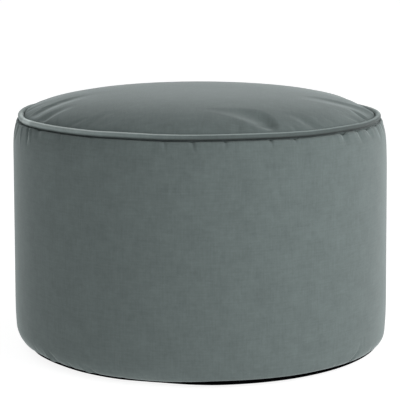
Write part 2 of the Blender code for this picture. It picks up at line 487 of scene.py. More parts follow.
class SeamRow(NamedTuple):
    """How far the top seam wanders at one bearing."""

    bearing: float
    rise_mm: float        # up or down
    out_mm: float = 0.0   # outwards or inwards


CROWN_SWELLS = (
    Fold(-117, 90, -0.8, 120, 0),
    Fold(104, 95, -1.8, 150, 0),
    Fold(93, 42, -5.5, 110, 0, start=0.2),
)

CROWN_FOLDS = (
    Fold(-84, 40, -0.7, 22, 2),
    Fold(-71.6, 100, -2.1, 42, -8, bend=1.2, skew=0.35, fade=0.3),
    Fold(-60.8, 56, -2.2, 30, 0.8, crease=0.1, fade=0.1),
    Fold(-50, 18, -1.0, 12, -6, crease=0.4),
    Fold(-45, 26, -0.9, 16, 4, crease=0.2),
    Fold(-38, 52, -1.2, 26, 3, crease=0.2),
    Fold(-28, 22, -0.8, 16, 1, crease=0.3),
    Fold(11, 28, -1.3, 24, 1, crease=0.2),
    Fold(22.6, 74, -4.9, 28, -11.5, bend=2.8, skew=-0.3, start=0.22, fade=0.35, flare=2.0),
    Fold(30.5, 20, -1.0, 14, 0, crease=0.2),
    Fold(38.4, 44, -1.9, 31, -3.6, crease=0.1, fade=0.2),
    Fold(61, 24, -1.0, 20, -2, crease=0.2),
    Fold(67.4, 32, -3.4, 18, 0, start=0.2),
    Fold(75.8, 104, -1.7, 46, -8, skew=-0.35, start=0.08, fade=0.4),
    Fold(79.2, 40, 1.0, 12, -2),
    Fold(82, 36, -1.2, 11, -2, crease=0.2),
    Fold(98, 34, -1.6, 14, 4, crease=0.5),
    Fold(112, 64, 1.8, 24, 6),
    Fold(123, 74, -2.8, 26, 8, skew=0.3, crease=0.4, fade=0.2),
    Fold(146, 46, -2.0, 20, -4, skew=-0.3, crease=0.4),
    Fold(166, 60, 1.4, 26, -6),
    Fold(177, 70, -2.6, 28, -8, bend=1.4, skew=-0.2, crease=0.3, fade=0.3),
    Fold(-158, 42, -2.0, 20, 4, skew=0.3, crease=0.4),
    Fold(-138, 70, 1.6, 26, 6),
    Fold(-128, 72, -2.8, 26, 7, skew=0.3, crease=0.4, fade=0.2),
    Fold(-107, 50, -2.0, 22, -5, skew=-0.2, crease=0.3),
    Fold(-94, 44, 1.2, 22, -3),
)

SEAM_PUCKERS = (
    Fold(90, 70, -1.8, 200, 0),
    Fold(-84, 30, -1.6, 12, 0, crease=0.3),
    Fold(-79, 34, 1.4, 12, -2),
    Fold(-74, 34, -2.0, 14, -3, crease=0.3),
    Fold(-69.5, 30, 1.4, 10, 1, bend=0.4),
    Fold(-64.8, 26, -3.6, 9, 2.6, bend=0.4, crease=0.4, start=0.08),
    Fold(-62.6, 24, 2.2, 9, 2.6, bend=0.4),
    Fold(-57, 16, -1.8, 22, 2, start=0.08),
    Fold(-45.2, 16, -1.5, 8, 1, crease=0.4),
    Fold(-33, 12, -0.8, 10, 0, crease=0.4),
    Fold(-10.4, 14, -1.2, 9, 1, crease=0.3),
    Fold(-2.2, 17, -2.0, 10, 1, skew=-0.2, crease=0.3, start=0.08),
    Fold(7.2, 11, -1.5, 8, 0, skew=-0.2, crease=0.3, start=0.08),
    Fold(20.6, 12, -1.6, 8, 0, skew=-0.2, crease=0.3, start=0.08),
    Fold(28.3, 9, -1.6, 8, 0, crease=0.3, start=0.08),
    Fold(43.6, 20, 0.8, 12, 2),
    Fold(47.0, 18, -3.3, 17, 0, crease=0.1, start=0.06),
    Fold(51.2, 20, 0.8, 15, 2),
    Fold(54.6, 20, -2.3, 14, 1, crease=0.1, start=0.06),
    Fold(57.4, 16, 0.4, 10, 1),
    Fold(60.8, 18, -2.8, 20, 2, crease=0.1, start=0.06),
    Fold(65.4, 20, 0.5, 12, 2),
    Fold(69.0, 22, -2.1, 15, 1, crease=0.1, start=0.06),
    Fold(72.6, 18, 0.7, 10, 1),
    Fold(75.6, 18, -1.6, 12, 1, crease=0.2, start=0.06),
    # Right flank, back and left flank: bearing, reach, rise, width, sweep, bend and skew
    *(Fold(*row, crease=0.4) for row in (
        (83, 24, -2.2, 12, 3, 1, -0.2), (96, 22, -2.0, 12, 2, 1, 0.2),
        (117, 26, -2.4, 14, -3, 1, 0.2), (123, 18, -1.6, 10, 2), (141, 20, -2.0, 12, 2, 1, -0.2),
        (163, 24, -2.4, 14, 3, 1, 0.2), (169, 16, -1.4, 9, -2), (-172, 20, -2.0, 12, -2, 1, -0.2),
        (-149, 26, -2.4, 14, 3, 1, 0.2), (-142, 16, -1.4, 9, 0), (-126, 20, -2.0, 12, -2, 1, 0.2),
        (-104, 24, -2.4, 14, -3, 1, -0.2), (-94, 18, -1.6, 10, 2),
    )),
    Fold(180, 320, -2.0, 9, 0, crease=0.8, start=0.01, fade=0.97),    # seam that closes the ring
)

HEM_PUCKERS = (
    Fold(-57, 24, -1.2, 10, -4, crease=0.5),
    Fold(-50.2, 20, 1.6, 8, -4, crease=0.3, fade=0.4),
    Fold(-47.4, 22, -3.0, 9, -4, crease=0.6, fade=0.4),
    Fold(-42.6, 14, -2.6, 9, 0, crease=0.6, fade=0.4),
    Fold(-35, 18, 1.4, 8, -3.5, crease=0.3, fade=0.4),
    Fold(-32.2, 18, -2.8, 9, -3.5, crease=0.6, fade=0.4),
    Fold(-24, 10, -0.8, 9, 0, crease=0.5),
    Fold(-5, 14, -0.9, 9, 0, crease=0.5),
    Fold(43.6, 14, -0.8, 9, 0, crease=0.5),
    Fold(49, 30, -2.4, 11, 9, crease=0.5, fade=0.4),
    # Right flank, back and left flank: bearing, reach, rise, width and sweep
    *(Fold(*row, crease=0.5) for row in (
        (61.5, 18, -1.2, 10, 2), (84, 16, -1.2, 11, -3), (104, 20, -1.4, 13, -4),
        (139, 16, -1.2, 11, 3), (171, 18, -1.2, 13, 0), (-151, 16, -1.4, 11, -3),
        (-118, 18, -1.2, 12, 4), (-83, 16, -1.2, 11, 2),
    )),
)

BOTTOM_EDGE = tuple(EdgeRow(*row) for row in (
    (-180, 25, 5.5), (-110, 29, 4.5), (-72, 30.5, 5.2), (-60, 30, 9.0), (-50, 29.5, 8.0),
    (-40, 28.5, 6.2), (-30, 28.6, 5.0), (-14, 33, 3.2), (6, 25, 8.4), (32, 23.5, 7.6),
    (60, 21.5, 7.0), (110, 18, 6.0), (180, 25, 5.5),
))

SEAM_TUCK = tuple(TuckRow(*row) for row in (
    (0.10, 1.4), (0.22, 2.1), (0.35, 1.2), (0.50, 0.6), (0.66, 0.9), (0.79, 2.1), (0.91, 3.9),
    (1.00, 6.4),
))

SEAM_LINE = tuple(SeamRow(*row) for row in (
    (-180, 0.8), (-142, 0.8), (-122, 1.0), (-104, 2.6, 1.0), (-90, 2.2, 0.8), (-75, -0.3, 0.8),
    (-54, 0.5), (-45, 0.5), (-33, 0.4), (-23, 0.9), (-8, 0.3), (13, 0.9), (34, 0.2), (50, 0.8),
    (60, 0.4), (86, 0.8, -0.9), (110, -0.5), (142, -0.2), (180, 0.8),
))


def smooth(t: Array | float) -> Array:
    """Ease from 0 to 1 as t goes from 0 to 1."""
    t = np.clip(t, 0.0, 1.0)
    return t * t * (3 - 2 * t)


def bearings(count: int) -> Array:
    """Bearings of points spread evenly round the drum, with the first again at its end."""
    return np.linspace(-180.0, 180.0, count + 1)


def round_trip(rows: Sequence[NamedTuple], column: str, bearing: Array) -> Array:
    """Read one column of a table that goes all round, eased between its rows.

    Args:
        rows: Rows in order of bearing, from -180 to 180.
        column: Name of the column.
        bearing: Bearings to read at.

    Returns:
        The column's value at each bearing.
    """
    at = np.array([row.bearing for row in rows])
    values = np.array([getattr(row, column) for row in rows])
    low = np.clip(np.searchsorted(at, bearing, side="right") - 1, 0, len(rows) - 2)
    t = smooth((bearing - at[low]) / (at[low + 1] - at[low]))
    return values[low] * (1 - t) + values[low + 1] * t


def fold_rise(folds: Sequence[Fold], bearing: Array, radius: Array, distance: Array) -> Array:
    """Add up the height of the folds at points that lie a distance from their seam.

    Args:
        folds: The folds along one seam.
        bearing: Bearing of each point.
        radius: Radius of each point, which turns degrees into a width.
        distance: How far each point is from the seam.

    Returns:
        The height that the folds add at each point.
    """
    total = np.zeros(np.broadcast(bearing, radius, distance).shape)
    for fold in folds:
        inside = np.clip(distance / (fold.reach_mm * MM), 0.0, 1.0)
        away = (bearing - fold.bearing - fold.sweep * inside ** fold.bend + 180) % 360 - 180
        wall = fold.width_mm * MM / 2 * (1 + fold.skew * np.sign(away)) * (1 + fold.flare * inside)
        across = np.minimum(np.abs(np.radians(away)) * radius / wall, 1.0)
        shape = (1 - fold.crease) * (1 - smooth(across)) + fold.crease * (1 - across) ** 2
        along = smooth(inside / fold.start) * (1 - smooth((inside - fold.fade) / (1 - fold.fade)))
        total += fold.rise_mm * MM * along * shape
    return total


def press_folds(piece: Piece, form: "DrumForm", folds: Sequence[Fold],
                distance_from_seam: Callable[[Array, Array, Array], Array]) -> None:
    """Press folds into a finished panel, square to its skin.

    Args:
        piece: The panel.
        form: The drum's form.
        folds: The folds along one seam.
        distance_from_seam: Takes the radius, height and bearing of each point, and gives how far
            the point is from the seam, or 0 where it is sewn down.
    """
    points = read_rows(piece.data.vertices, "co")
    radius, bearing = form.measure(points)
    distance = distance_from_seam(radius, points[:, 2], bearing)
    rise = fold_rise(folds, bearing, radius, distance)
    skin = read_rows(piece.data.vertex_normals, "vector")
    move_points(piece.data, points + skin * rise[:, None])


WIDEST_TO_FLOOR = 0.0011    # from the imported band's widest place out to its side at the floor
CORD_BOX_RISE = 0.00005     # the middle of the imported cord's box lies this far above its seam


@dataclass(frozen=True)
class DrumForm:
    """Form of the filled drum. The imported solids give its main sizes."""

    side_radius: float                # of the tapered side, if it ran straight down to the floor
    seam_radius: float                # to the middle of the piping cord
    seam_height: float
    crown_top: float
    cord_radius: float = 0.0038
    gap: float = 0.0003               # between neighbouring pieces
    taper: float = 0.0032             # how much narrower the plain side is at the seam's height
    shoulder: float = 0.036           # height over which the band swells out from under the piping
    foot: float = 0.060               # height over which it draws in again towards the bottom
    foot_draw: float = 0.004          # how far it would be drawn in at the floor
    lean: float = -0.0012             # sideways shift of the top seam
    follow_end: float = 0.016         # distance from the piping beyond which panels don't follow it
    follow_fade: float = 0.010        # distance over which they come to follow it outwards
    base_thickness: float = 0.0020
    hem_tuck: float = 0.0010          # how deep the bottom seam pulls the band in
    hem_tuck_width: float = 0.0050

    @classmethod
    def from_frame(cls, cord_radius: float = 0.0038) -> "DrumForm":
        """Read the drum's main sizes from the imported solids.

        Args:
            cord_radius: Radius of the piping cord.

        Returns:
            The drum's form.
        """
        band_low, band_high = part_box("side_band")
        cord_low, cord_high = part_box("top_piping")
        return cls(
            side_radius=(band_high.y - band_low.y) / 2 + WIDEST_TO_FLOOR,
            seam_radius=(cord_high.y - cord_low.y) / 2 - cord_radius,
            seam_height=(cord_high.z + cord_low.z) / 2 - CORD_BOX_RISE,
            crown_top=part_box("top_panel")[1].z,
            cord_radius=cord_radius,
        )

    @property
    def crown_edge(self) -> float:
        """Radius at which the top panel meets the piping."""
        return self.seam_radius - self.cord_radius - self.gap

    @property
    def crown_underside(self) -> float:
        """Height of the top panel's flat underside."""
        return self.seam_height - 2 * self.gap

    def seam_at(self, bearing: Array) -> Array:
        """Height of the middle of the piping."""
        return self.seam_height + round_trip(SEAM_LINE, "rise_mm", bearing) * MM

    def seam_out(self, bearing: Array) -> Array:
        """How far the middle of the piping lies outside its mean circle."""
        return round_trip(SEAM_LINE, "out_mm", bearing) * MM

    def side_radius_at(self, height: Array) -> Array:
        """Radius of the plain band: a round shoulder, then slowly wider, then drawn in below.

        Args:
            height: Heights above the floor.

        Returns:
            The radius at each height.
        """
        above = np.maximum(height - (self.seam_height - self.shoulder), 0.0) / self.shoulder
        drawn_in = 1 - np.sqrt(1 - np.minimum(above, 1.0) ** 2)
        full = self.side_radius - self.taper * height / self.seam_height
        full = full - self.foot_draw * np.maximum(1 - height / self.foot, 0.0) ** 2
        return full - (self.side_radius - self.taper - self.seam_radius) * drawn_in

    def rolled_edge(self, bearing: Array) -> tuple[Array, Array, Array]:
        """Measure the bottom edge.

        Args:
            bearing: Where to measure it.

        Returns:
            Foot radius, corner radius and angle round the corner to the bottom seam.
        """
        corner = round_trip(BOTTOM_EDGE, "corner_mm", bearing) * MM
        hem = round_trip(BOTTOM_EDGE, "hem_mm", bearing) * MM
        return self.side_radius_at(corner) - corner, corner, np.arccos(1 - hem / corner)

    def place(self, radius: Array, height: Array, bearing: Array) -> Array:
        """Turn places on the drum into points, shifted by its lean and the seam's wandering.

        Args:
            radius: Radius of each place.
            height: Height of each place.
            bearing: Bearing of each place.

        Returns:
            Rows of x, y, z.
        """
        radius, height, bearing = np.broadcast_arrays(radius, height, bearing)
        from_seam = np.hypot(radius - self.seam_radius, height - self.seam_height)
        follow = smooth((self.follow_end - from_seam) / self.follow_fade)
        radius = radius + self.seam_out(bearing) * follow
        lean = self.lean * height / self.seam_height
        turn = np.radians(bearing)
        return np.stack([radius * np.sin(turn) + lean, -radius * np.cos(turn), height], axis=-1)

    def measure(self, points: Array) -> tuple[Array, Array]:
        """Radius and bearing of points, measured from the drum's leaning middle."""
        across = points[:, 0] - self.lean * points[:, 2] / self.seam_height
        return np.hypot(across, points[:, 1]), np.degrees(np.arctan2(across, -points[:, 1]))


def rolled(foot: Array, corner: Array, inset: Array | float, angle: Array) -> tuple[Array, Array]:
    """Radius and height at an angle round the rolled edge, inset from its skin."""
    return foot + (corner - inset) * np.sin(angle), corner - (corner - inset) * np.cos(angle)


# --------------------------------------------------------------------------------------
# Meshes

DISC_RINGS = (0.05, 0.1, 0.2, 0.4, 0.7)     # shares of a flat disc's radius at which its rings lie
DISC_STEP = 0.75            # least step along those rings, as a share of the step along its edge
FEWEST_POINTS = 25          # a ring isn't halved when it has so few
STILL = 1e-9                # a point that moves less than this, in metres, counts as still


def even_steps(radius: Array, height: Array, step: float) -> Array:
    """Share an outline into steps of one length.

    Args:
        radius: Radius along the outline.
        height: Height along the outline.
        step: Length of a step, in metres.

    Returns:
        The radius after each step, from the first point to the last.
    """
    along = np.concatenate([[0.0], np.cumsum(np.hypot(np.diff(radius), np.diff(height)))])
    count = max(int(round(along[-1] / step)), 1)
    return np.interp(np.linspace(0.0, along[-1], count + 1), along, radius)


def coarser(count: int, radius: float, least: float) -> int:
    """Halve a ring's number of points until they lie far enough apart.

    Args:
        count: Number of points in the widest ring.
        radius: Radius of the ring.
        least: Least distance between neighbouring points, in metres.

    Returns:
        The ring's number of points.
    """
    while count % 2 == 0 and count > FEWEST_POINTS and 2 * math.pi * radius / count < least:
        count //= 2
    return count


class Ring(NamedTuple):
    """Points round the drum at one station of a loft, with their place on the cut cloth."""

    points: Array         # rows of x, y, z; a single row is a pole
    cloth: Array          # rows of u, v, with one row more for where the ring closes
    sewn: float = 1.0     # 1 where it is sewn down or hidden, 0 where the filling may move it
    spare: float = 0.0    # how much of the spare cloth lies there, from 0 to 1


@dataclass
class Loft:
    """Closed skin through rings of points, from the middle of its top round to its underside's."""

    form: DrumForm
    rings: list[Ring] = field(default_factory=list)

    def lay(self, radius: Array, height: Array, bearing: Array, **hold: float) -> None:
        """Add a ring whose cloth is cut flat, as it is seen from above.

        Args:
            radius: Radius of the ring.
            height: Height of the ring.
            bearing: Bearings of its points, with the first again at its end.
            **hold: How it is sewn and its spare cloth, as in Ring.
        """
        points = self.form.place(radius, height, bearing)
        self.rings.append(Ring(points[:-1], points[:, :2], **hold))

    def lay_disc(self, radius: float, height: float, count: int, outwards: bool) -> None:
        """Fill in a flat disc whose rings thin out towards its middle.

        Args:
            radius: Radius of the ring of points that the disc meets.
            height: Height of the disc.
            count: Number of points in that ring.
            outwards: True for a disc that starts the loft at its middle, False where it ends it.
        """
        least = 2 * DISC_STEP * math.pi * radius / count
        middle = self.form.place(0.0, height, 0.0)[None]
        disc = Loft(self.form, [Ring(middle, np.zeros((2, 2)))])
        for inner in radius * np.array(DISC_RINGS):
            disc.lay(inner, height, bearings(coarser(count, inner, least)))
        self.rings.extend(disc.rings if outwards else disc.rings[::-1])

    def per_point(self, column: str) -> Array:
        """One value of the rings, repeated for each point."""
        values = [getattr(ring, column) for ring in self.rings]
        return np.repeat(values, [len(ring.points) for ring in self.rings])

    def face_rows(self, upper: int, lower: int) -> list[tuple[tuple[int, int], ...]]:
        """Join two rings with faces that point outwards.

        Args:
            upper: Number of points in the ring nearer the top; it may be half or twice the lower.
            lower: Number of points in the next ring.

        Returns:
            Corners of each face, as pairs of the ring (0 or 1) and the point on it.
        """
        if upper == 1:
            return [((0, 0), (1, j), (1, j + 1)) for j in range(lower)]
        if lower == 1:
            return [((0, j), (1, 0), (0, j + 1)) for j in range(upper)]
        if upper == lower:
            return [((0, j), (1, j), (1, j + 1), (0, j + 1)) for j in range(upper)]
        if lower == 2 * upper:
            return [corners for j in range(upper) for corners in (
                ((0, j), (1, 2 * j), (1, 2 * j + 1)),
                ((0, j), (1, 2 * j + 1), (0, j + 1)),
                ((0, j + 1), (1, 2 * j + 1), (1, 2 * j + 2)))]
        if upper == 2 * lower:
            return [corners for j in range(lower) for corners in (
                ((0, 2 * j), (1, j), (0, 2 * j + 1)),
                ((0, 2 * j + 1), (1, j), (1, j + 1)),
                ((0, 2 * j + 1), (1, j + 1), (0, 2 * j + 2)))]
        raise ValueError(f"rings of {upper} and {lower} points don't join")

    def build(self, name: str) -> Piece:
        """Make the skin as an object.

        Args:
            name: Name of the object and its mesh.

        Returns:
            The object, with a UV map in metres of cloth.
        """
        counts = [len(ring.points) for ring in self.rings]
        starts = np.concatenate([[0], np.cumsum(counts)])
        faces: list[tuple[int, ...]] = []
        places: list[Array] = []
        for i, pair in enumerate(zip(self.rings, self.rings[1:])):
            for corners in self.face_rows(counts[i], counts[i + 1]):
                faces.append(tuple(int(starts[i + k] + j % counts[i + k]) for k, j in corners))
                places.extend(pair[k].cloth[j] for k, j in corners)
        mesh = bpy.data.meshes.new(name)
        mesh.from_pydata(np.concatenate([ring.points for ring in self.rings]).tolist(), [], faces)
        layer = mesh.uv_layers.new(name="cut_cloth")
        layer.data.foreach_set("uv", np.array(places, dtype=np.float32).ravel())
        mesh.shade_smooth()
        return add_object(name, mesh)


def read_rows(items: bpy.types.bpy_prop_collection, name: str) -> Array:
    """Read one property of every point of a mesh.

    Args:
        items: The mesh's points, or its normals.
        name: Name of the property.

    Returns:
        Rows of x, y, z.
    """
    flat = np.empty(len(items) * 3, dtype=np.float32)
    items.foreach_get(name, flat)
    return flat.reshape(-1, 3).astype(float)


def move_points(mesh: Mesh, points: Array) -> None:
    """Put the points of a mesh in new places."""
    mesh.vertices.foreach_set("co", points.astype(np.float32).ravel())
    mesh.update()


def subdivide(piece: Piece) -> None:
    """Give a piece one level of smooth subdivision.

    Args:
        piece: The piece, whose mesh is replaced by the finer one.
    """
    finer = piece.modifiers.new("finer cloth", "SUBSURF")
    finer.levels = finer.render_levels = 1
    mesh = evaluated_mesh(piece)
    piece.modifiers.clear()
    coarse = piece.data
    piece.data = mesh
    bpy.data.meshes.remove(coarse)
    mesh.name = piece.name


@dataclass(frozen=True)
class Filling:
    """Beads that press a cloth piece outwards against its seams, worked out by the cloth solver."""

    pressure: float
    spare_cloth: float = 0.004        # share by which the cloth beside a seam is cut too long
    stiffness: float = 60.0
    bending: float = 0.6
    damping: float = 12.0             # of stretching, which stops the cloth from ringing
    air_damping: float = 3.0
    cloth_mass: float = 0.25          # kilograms that the solver gives each point
    steps: int = 6                    # of the solver in each frame
    frames: int = 12
    cap_mm: float = 2.0               # the furthest that a point may move
    fill: float = 0.85                # how tight the piece feels, from 0 to 1

    def swell(self, piece: Piece, loft: Loft) -> None:
        """Let a piece swell and gather, and keep the result.

        Args:
            piece: The sewn piece.
            loft: The loft that it was made from.
        """
        mesh = piece.data
        start = read_rows(mesh.vertices, "co")
        for name in ("sewn", "spare"):
            group = piece.vertex_groups.new(name=name)
            weights = loft.per_point(name)
            for index in np.flatnonzero(weights > 0):
                group.add([int(index)], float(weights[index]), "REPLACE")
        solver = piece.modifiers.new("filling", "CLOTH")
        cloth = solver.settings
        cloth.quality = self.steps
        cloth.mass = self.cloth_mass
        cloth.tension_stiffness = cloth.compression_stiffness = self.stiffness
        cloth.shear_stiffness = self.stiffness / 2
        cloth.bending_stiffness = self.bending
        cloth.tension_damping = cloth.compression_damping = self.damping
        cloth.air_damping = self.air_damping
        cloth.use_pressure = True
        cloth.uniform_pressure_force = self.pressure
        cloth.vertex_group_mass = "sewn"
        cloth.vertex_group_shrink = "spare"
        cloth.shrink_min = 0.0
        cloth.shrink_max = -self.spare_cloth
        cloth.effector_weights.gravity = 0.0
        solver.collision_settings.use_collision = False
        solver.point_cache.frame_end = self.frames
        scene = bpy.context.scene
        for number in range(1, self.frames + 1):
            scene.frame_set(number)
        evaluated = piece.evaluated_get(bpy.context.evaluated_depsgraph_get())
        swollen = read_rows(evaluated.data.vertices, "co")
        scene.frame_set(1)
        piece.modifiers.clear()
        piece.vertex_groups.clear()

        move = swollen - start
        length = np.linalg.norm(move, axis=1, keepdims=True)
        cap = self.cap_mm * MM
        move *= cap * np.tanh(length / cap) / np.maximum(length, STILL)
        move_points(mesh, start + move)
        furthest = float(np.linalg.norm(move, axis=1).max())
        LOG.info("%s swelled by %.1f mm at most", piece.name, furthest / MM)


# --------------------------------------------------------------------------------------
# The footstool's sewn pieces


@dataclass
class FilledPanel:
    """Panel of velvet that the beads press outwards."""

    form: DrumForm
    velvet: Velvet
    filling: Filling

    def fill(self, name: str, loft: Loft, *folds: tuple[Sequence[Fold], Callable]) -> Piece:
        """Let a panel swell, press its folds into it and dress it.

        Args:
            name: Name of the piece.
            loft: The panel's skin.
            *folds: Tables of folds, each with its distance from the seam as in press_folds.

        Returns:
            The finished piece.
        """
        piece = loft.build(name)
        self.filling.swell(piece, loft)
        subdivide(piece)
        for table, distance_from_seam in folds:
            press_folds(piece, self.form, table, distance_from_seam)
        piece.data.materials.append(self.velvet.material())
        return piece


@dataclass
class CrownPanel(FilledPanel):
    """Domed top panel of velvet, gathered a little into its seam."""

    segments: int = 640               # points round its edge before subdivision
    ring_step_mm: float = 3.3
    least_step_mm: float = 1.9        # rings thin out where their points would lie closer than this
    full_middle: float = 3.4          # power of the dome: how flat its middle is
    full_edge: float = 0.66           # power of the dome: how round its edge is
    seam_hold: int = 4                # power with which the wandering of the seam fades inwards
    gather_mm: float = 60.0           # reach of the gathers from the seam
    outline_points: int = 400         # of the dome's outline, before it is shared into rings

    def height_at(self, bearing: Array, radius: Array) -> Array:
        """Height of the dome, with its broad swells.

        Args:
            bearing: Bearing of each point.
            radius: Radius of each point.

        Returns:
            Height of each point.
        """
        share = radius / self.form.crown_edge
        rise = self.form.crown_top - self.form.seam_height
        height = self.form.seam_height + rise * (1 - share ** self.full_middle) ** self.full_edge
        wander = self.form.seam_at(bearing) - self.form.seam_height
        height = height + wander * share ** self.seam_hold
        distance = self.form.crown_edge - radius
        return height + fold_rise(CROWN_SWELLS, bearing, radius, distance)

    def ring_radii(self) -> Array:
        """Radius of each ring, from the middle to the edge, evenly spaced along the dome.

        Returns:
            The radii, with the middle's 0 first.
        """
        share = np.sin(np.linspace(0.0, math.pi / 2, self.outline_points))
        rise = self.form.crown_top - self.form.seam_height
        dome = rise * np.maximum(1 - share ** self.full_middle, 0.0) ** self.full_edge
        return even_steps(share * self.form.crown_edge, dome, self.ring_step_mm * MM)

    def build(self) -> Piece:
        """Loft the panel over its dome, let it swell and crease it.

        Returns:
            The finished piece.
        """
        form = self.form
        loft = Loft(form)
        middle = form.place(0.0, self.height_at(0.0, 0.0), 0.0)
        loft.rings.append(Ring(middle[None], np.tile(middle[:2], (2, 1)), sewn=0.0))
        radii = self.ring_radii()
        for radius in radii[1:]:
            bearing = bearings(coarser(self.segments, radius, self.least_step_mm * MM))
            spare = 1 - smooth((form.crown_edge - radius) / (self.gather_mm * MM))
            loft.lay(radius, self.height_at(bearing, radius), bearing,
                     sewn=float(radius == radii[-1]), spare=float(spare))
        loft.lay(form.crown_edge, form.crown_underside, bearing)
        loft.lay_disc(form.crown_edge, form.crown_underside, self.segments, outwards=False)
        return self.fill("crown_panel", loft, (CROWN_FOLDS, self.distance_from_seam))

    def distance_from_seam(self, radius: Array, height: Array, bearing: Array) -> Array:
        """How far in from the piping a point of the dome lies, or 0 on the hidden underside."""
        return np.where(height > self.form.seam_at(bearing), self.form.crown_edge - radius, 0.0)


@dataclass
class SideBand(FilledPanel):
    """Band of velvet round the drum, drawn in under the piping and rolled under at the bottom."""

    segments: int = 576               # points round its top before subdivision; lower down, half
    groove_arc: Pair = (205.0, 268.0)     # part of the cord that the band is wrapped round
    groove_steps: int = 3
    puckered_mm: float = 34.0         # height of the finely meshed part under the piping
    puckered_steps: int = 12
    side_steps: int = 17
    roll_steps: int = 8
    gather_mm: float = 34.0           # reach of the gathers from the piping
    skin_share: float = 0.8           # how deep its skin counts, in thicknesses of the base cloth

    def build(self) -> Piece:
        """Loft the band, let it swell and crease it.

        Returns:
            The finished piece.
        """
        form, fine, plain = self.form, self.segments, self.segments // 2
        loft = Loft(form)
        top, edge = form.crown_underside - form.gap, form.crown_edge - 2 * form.gap
        loft.lay_disc(edge, top, fine, outwards=True)
        rings = [self.ring(fine, self.on_top, edge, top)]
        for angle in np.radians(np.linspace(*self.groove_arc, self.groove_steps + 1)):
            rings.append(self.ring(fine, self.in_groove, angle))
        for row in SEAM_TUCK:
            rings.append(self.ring(fine, self.in_tuck, row, sewn=(1 - row.out) ** 2, spare=row.out))
        downs = np.linspace(SEAM_TUCK[-1].down_mm, self.puckered_mm, self.puckered_steps + 1)
        for down in downs[1:] * MM:
            spare = 1 - smooth(down / (self.gather_mm * MM))
            rings.append(self.ring(fine, self.on_side, down, 0.0, sewn=0.0, spare=float(spare)))
        for share in np.linspace(0.0, 1.0, self.side_steps + 1)[1:]:
            rings.append(self.ring(plain, self.on_side, self.puckered_mm * MM, share, sewn=0.0))
        for share in np.linspace(0.0, 1.0, self.roll_steps + 1)[1:]:
            rings.append(self.ring(plain, self.in_roll, share, sewn=float(share == 1.0),
                                   spare=share))
        rings.extend(self.ring(plain, self.behind_base, share) for share in (1.0, 0.5, 0.0))
        loft.rings.extend(rings)
        foot = float(np.mean(form.rolled_edge(bearings(plain))[0]))
        loft.lay_disc(foot, form.base_thickness + form.gap, plain, outwards=False)
        return self.fill("side_band_velvet", loft, (SEAM_PUCKERS, self.distance_from_piping),
                         (HEM_PUCKERS, self.distance_from_hem))

    def ring(self, count: int, section: Callable[..., Section], *where: float | TuckRow,
             sewn: float = 1.0, spare: float = 0.0) -> Ring:
        """Make one ring of the band.

        Args:
            count: Number of points.
            section: Method that takes bearings and a place, and gives the section there.
            *where: The place.
            sewn: As in Ring.
            spare: As in Ring.

        Returns:
            The ring.
        """
        bearing = bearings(count)
        radius, height, up = section(bearing, *where)
        points = self.form.place(radius, height, bearing)
        around = np.radians(bearing) * self.form.side_radius
        return Ring(points[:-1], np.stack(np.broadcast_arrays(around, up), axis=-1), sewn, spare)

    def on_top(self, bearing: Array, radius: float, height: float) -> Section:
        """Hidden flat top under the crown panel."""
        return radius, height, height

    def in_groove(self, bearing: Array, angle: float) -> Section:
        """Seam allowance wrapped round the inner side of the piping.

        Args:
            bearing: Bearings of the ring's points.
            angle: Angle round the cord.

        Returns:
            The section there.
        """
        reach = self.form.cord_radius + self.form.gap
        height = self.form.seam_at(bearing) + reach * math.sin(angle)
        return self.form.seam_radius + reach * math.cos(angle), height, height

    def lip(self, bearing: Array) -> tuple[float, Array]:
        """Radius and height at which the band leaves the piping."""
        return self.in_groove(bearing, math.radians(self.groove_arc[1]))[:2]

    def in_tuck(self, bearing: Array, row: TuckRow) -> Section:
        """Small roll where the cloth comes out from under the piping.

        Args:
            bearing: Bearings of the ring's points.
            row: The place on the roll.

        Returns:
            The section there.
        """
        lip_radius, lip = self.lip(bearing)
        side_radius = self.form.side_radius_at(lip - SEAM_TUCK[-1].down_mm * MM)
        height = lip - row.down_mm * MM
        return lip_radius + (side_radius - lip_radius) * row.out, height, height

    def on_side(self, bearing: Array, down: float, share: float) -> Section:
        """Plain side between the piping and the bottom roll.

        Args:
            bearing: Bearings of the ring's points.
            down: Distance below the piping.
            share: Share of the way from there to the bottom roll.

        Returns:
            The section there.
        """
        height = self.lip(bearing)[1] - down
        height = height + (self.form.rolled_edge(bearing)[1] - height) * share
        return self.form.side_radius_at(height), height, height

    def in_roll(self, bearing: Array, share: float) -> Section:
        """Rolled bottom edge down to the bottom seam.

        Args:
            bearing: Bearings of the ring's points.
            share: 0 at the side and 1 at the bottom seam.

        Returns:
            The section there.
        """
        form = self.form
        foot, corner, hem_angle = form.rolled_edge(bearing)
        hem_angle = hem_angle + form.gap / corner
        angle = math.pi / 2 + (hem_angle - math.pi / 2) * share
        tuck = form.hem_tuck * (1 - smooth((angle - hem_angle) * corner / form.hem_tuck_width))
        radius, height = rolled(foot, corner, tuck, angle)
        return radius, height, corner - (math.pi / 2 - angle) * corner

    def behind_base(self, bearing: Array, share: float) -> Section:
        """Hidden part behind the base cloth.

        Args:
            bearing: Bearings of the ring's points.
            share: 1 at the bottom seam and 0 where it lies flat.

        Returns:
            The section there.
        """
        foot, corner, hem_angle = self.form.rolled_edge(bearing)
        inset = self.form.base_thickness + self.form.gap
        return *rolled(foot, corner, inset, hem_angle * share), 0.0

    def distance_from_piping(self, radius: Array, height: Array, bearing: Array) -> Array:
        """How far below the piping a point of the band lies, or 0 inside the seam."""
        lip_radius, lip = self.lip(bearing)
        return np.where(radius > lip_radius, lip - height, 0.0)

